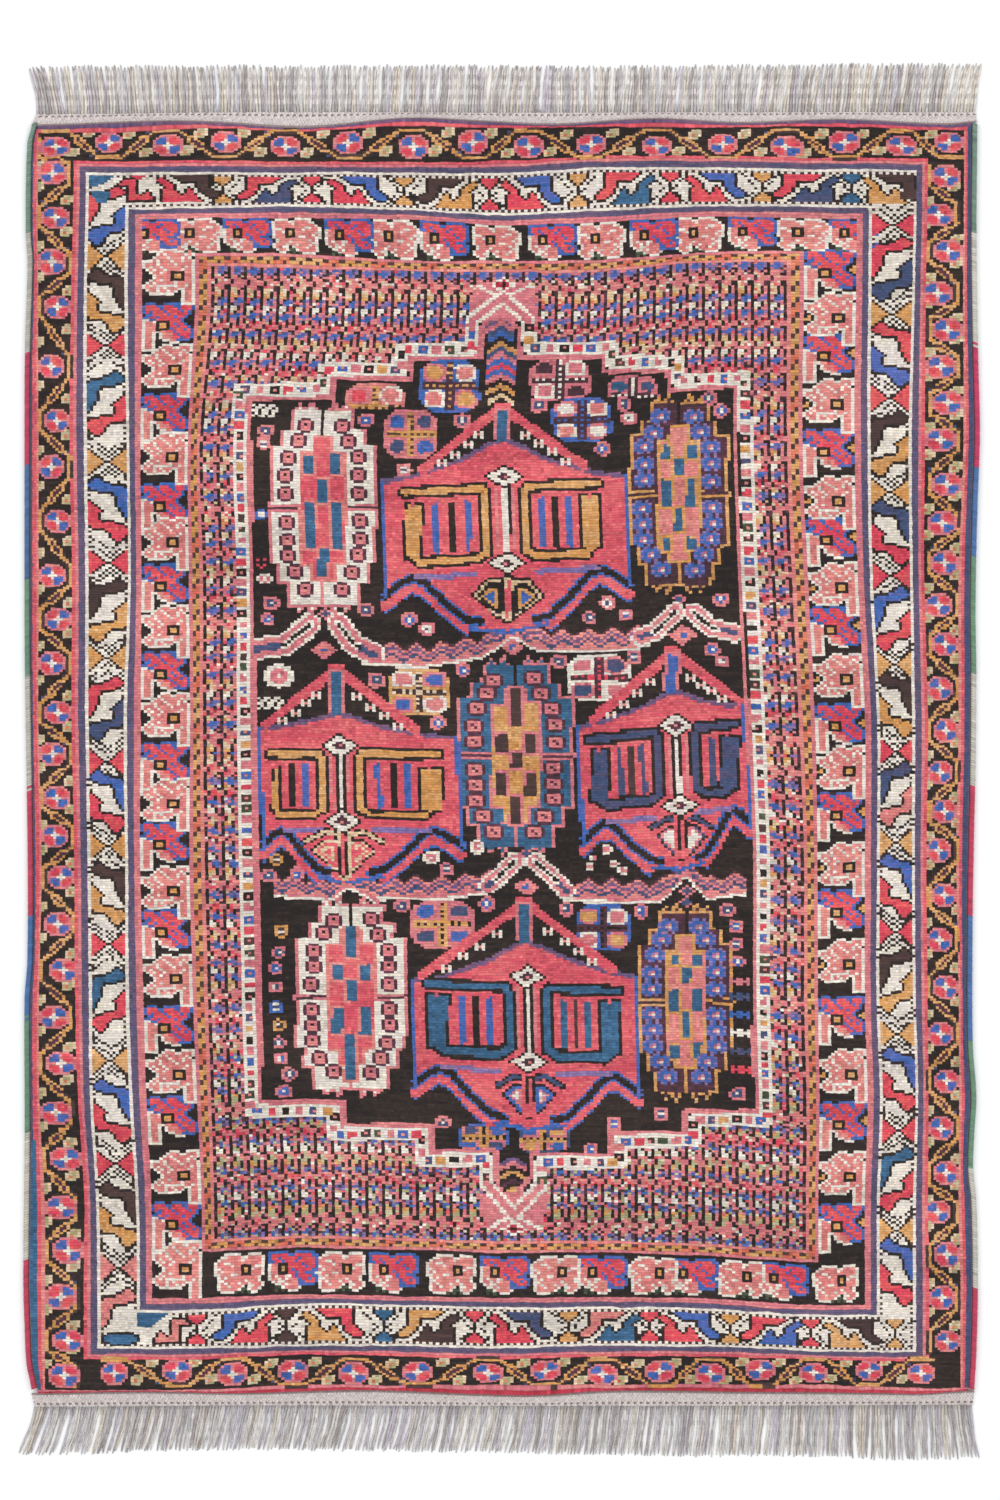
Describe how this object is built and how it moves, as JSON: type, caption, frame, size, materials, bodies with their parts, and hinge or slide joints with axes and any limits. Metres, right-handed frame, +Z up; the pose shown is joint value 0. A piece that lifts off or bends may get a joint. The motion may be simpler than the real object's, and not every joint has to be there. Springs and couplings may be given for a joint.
{
  "type": "afshar rug",
  "caption": "Rectangular knotted pile rug lying flat, with slightly wavy sides, bound side edges and a loose flat fringe on a woven strip at each end.",
  "frame": {"origin": "middle of the rug's bounding box, on the floor under it", "axes": "+Y along the rug towards the top of the picture, +X across it towards the picture's right, +Z up out of the pile"},
  "size_m": [1.3326, 1.9356, 0.009],
  "materials": {
    "pile_wool": "short clipped wool pile",
    "bound_wool": "overcast wool yarn",
    "fringe_cotton": "undyed twisted warp yarn"
  },
  "bodies": {
    "root": {"rug_body": "pile_wool", "bound_edge_left": "bound_wool", "bound_edge_right": "bound_wool", "fringe_top": "fringe_cotton", "fringe_bottom": "fringe_cotton"}
  },
  "joints": []
}
